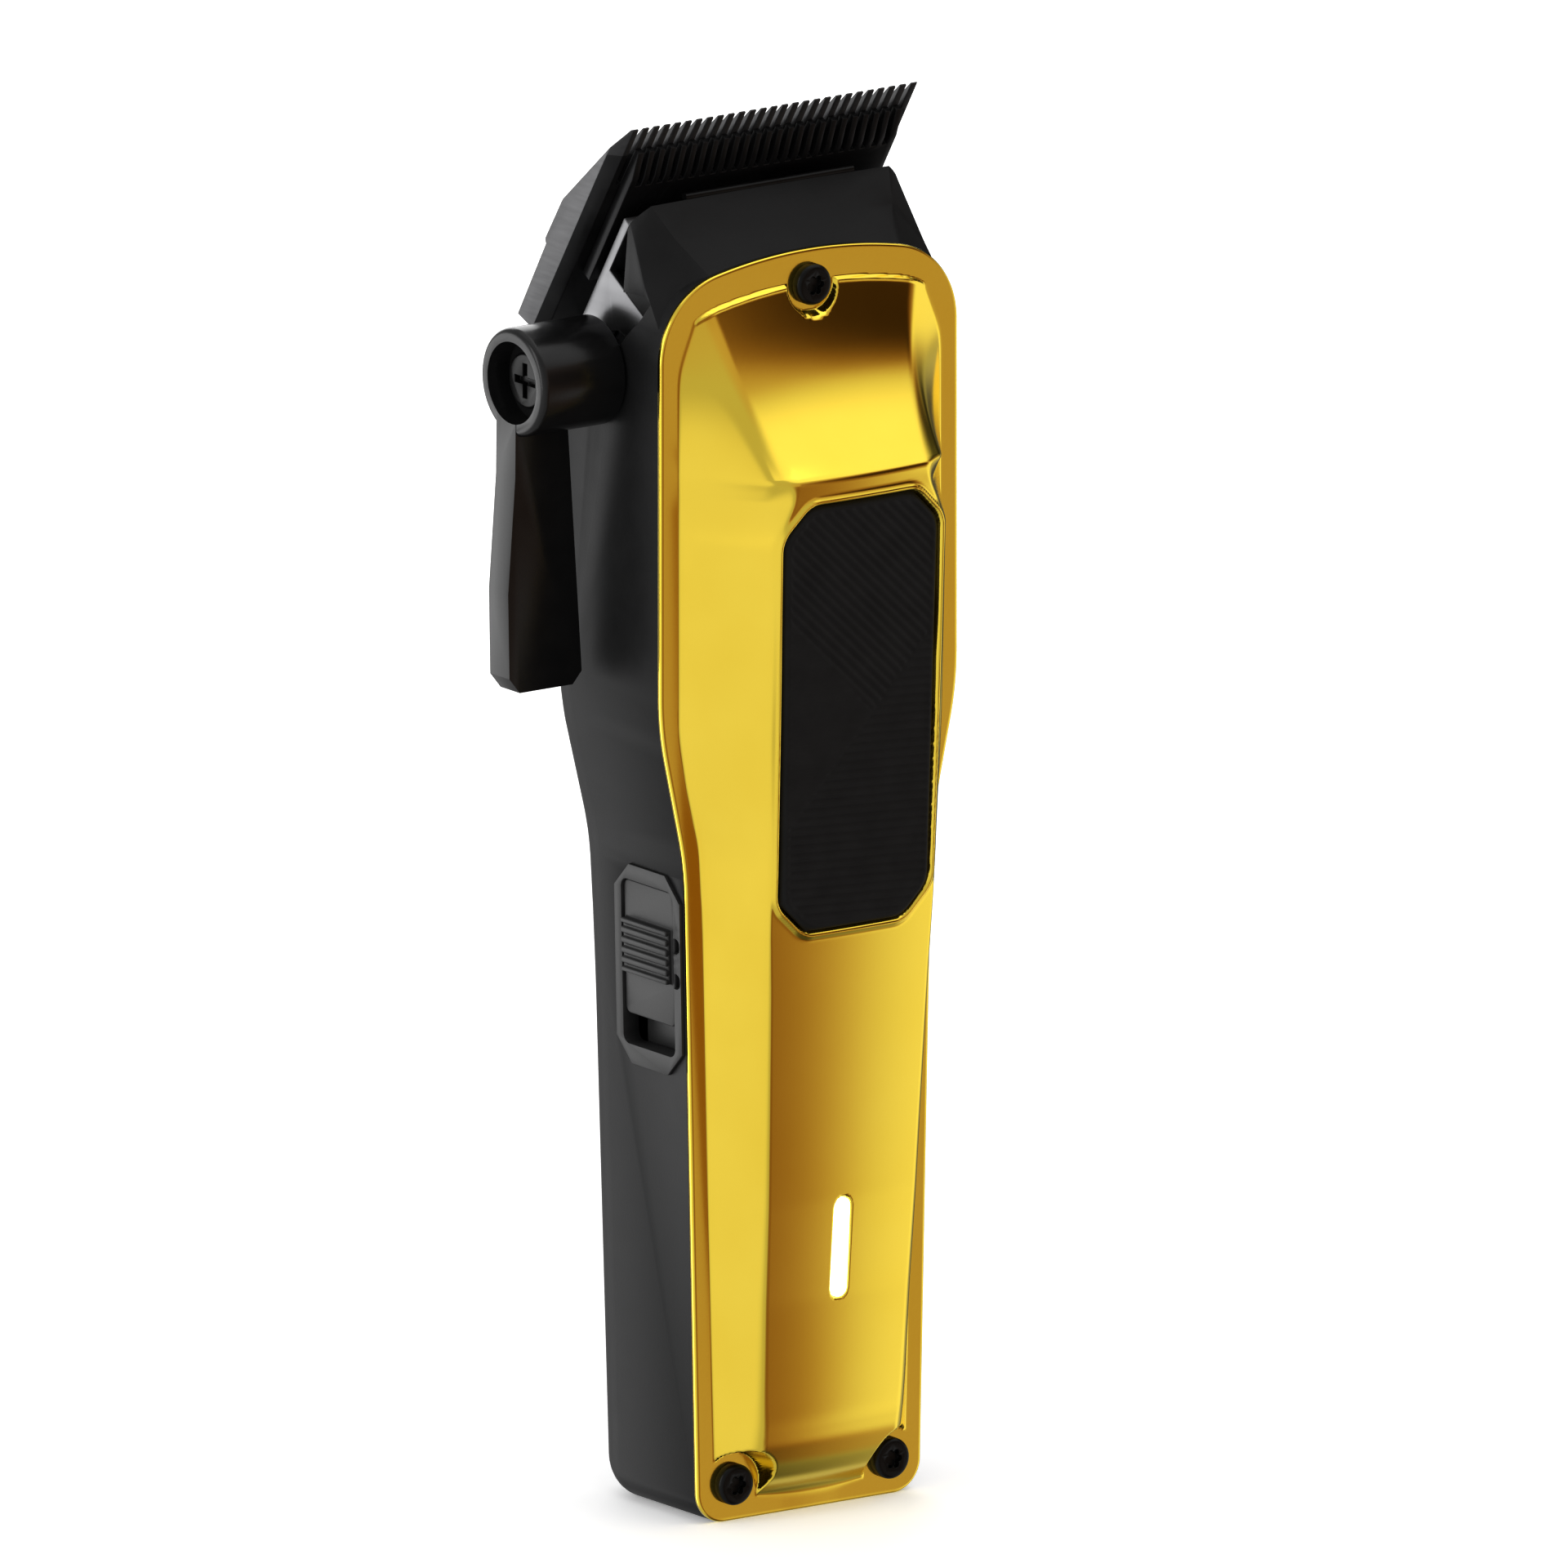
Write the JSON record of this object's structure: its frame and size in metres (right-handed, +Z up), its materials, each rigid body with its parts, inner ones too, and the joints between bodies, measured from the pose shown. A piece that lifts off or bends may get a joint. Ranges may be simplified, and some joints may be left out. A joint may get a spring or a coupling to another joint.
{
  "type": "hair clipper",
  "caption": "Cordless hair clipper with a sculpted gold front lid, black shell, adjustable tapering blade set, side lever, slide switch and thumb pad.",
  "frame": {"origin": "centre of the charging socket's mouth, in the plane of the foot that the clipper stands on", "axes": "+Z up from the foot to the blade, +X to the side away from the taper lever, -Y out of the gold lid (front), +Y to the blade's skin side (back)"},
  "size_m": [0.0604, 0.0439, 0.1807],
  "materials": {
    "black_shell": "fine satin texture",
    "gold_plate": "glossy gold plating",
    "grip_pad": "ribbed matt grip",
    "light_guide": "milky, lit from behind",
    "black_screw": "black oxide, slightly glossy",
    "black_blade": "black coating over ground steel",
    "black_cutter": "black coating, satin",
    "bare_steel": "satin",
    "white_moulding": "smooth acetal",
    "black_lever": "satin black coating",
    "black_trim": "smooth satin",
    "black_inner": "moulded",
    "cell_wrap": "shrink sleeve",
    "board_green": "solder mask",
    "board_component": "epoxy",
    "socket_black": "moulded",
    "motor_steel": "rolled can",
    "contact_brass": "turned",
    "damper_rubber": "matt"
  },
  "bodies": {
    "casing": {"housing": "black_shell", "lid": "gold_plate", "thumb_pad": "grip_pad", "light_bar": "light_guide", "lid_screws": "black_screw", "tension_spring": "black_screw", "lever_support": "black_inner", "switch_bezel": "black_trim", "switch_body": "black_inner", "battery_cell": "cell_wrap", "battery_contact_foot": "bare_steel", "battery_contact_top": "bare_steel", "battery_cradle": "black_inner", "circuit_board": "board_green", "board_parts": "board_component", "status_led": "white_moulding", "charging_socket": "socket_black", "charging_pin": "bare_steel", "motor_can": "motor_steel", "motor_end_cap": "black_inner", "motor_terminals": "contact_brass", "motor_mount": "bare_steel", "motor_mount_screws": "bare_steel", "motor_damper": "damper_rubber"},
    "lever": {"taper_lever": "black_lever", "lever_screw": "black_screw", "lever_shaft": "bare_steel"},
    "blade_carriage": {"fixed_blade": "black_blade", "blade_screws": "black_screw", "blade_bracket": "bare_steel"},
    "cutter": {"cutter_blade": "black_cutter", "cutter_guide": "white_moulding", "drive_fork": "white_moulding"},
    "rotor": {"motor_rotor": "motor_steel", "eccentric": "contact_brass", "drive_pin": "bare_steel"},
    "power_button": {"switch_slider": "black_trim"}
  },
  "joints": [
    {"name": "lever_turn", "type": "hinge", "parent": "casing", "child": "lever", "pos_m": [-0.0206, 0.0017, 0.1484], "axis": [1, 0, 0], "range_deg": [0, 45]},
    {"name": "blade_slide", "type": "slide", "parent": "casing", "child": "blade_carriage", "axis": [0, 0.5329, -0.8462], "range_m": [0, 0.00245]},
    {"name": "cutter_swing", "type": "slide", "parent": "casing", "child": "cutter", "axis": [1, 0, 0], "range_m": [-0.001, 0.001]},
    {"name": "motor_spin", "type": "hinge", "parent": "casing", "child": "rotor", "pos_m": [0, 0, 0.1], "axis": [0, 0, 1], "continuous": true},
    {"name": "switch_slide", "type": "slide", "parent": "casing", "child": "power_button", "axis": [-0.0221, 0, 0.9998], "range_m": [-0.0035, 0]}
  ],
  "couplings": [
    {"joint": "lever_turn", "follows": "blade_slide", "rad_per_m": 320.57}
  ]
}
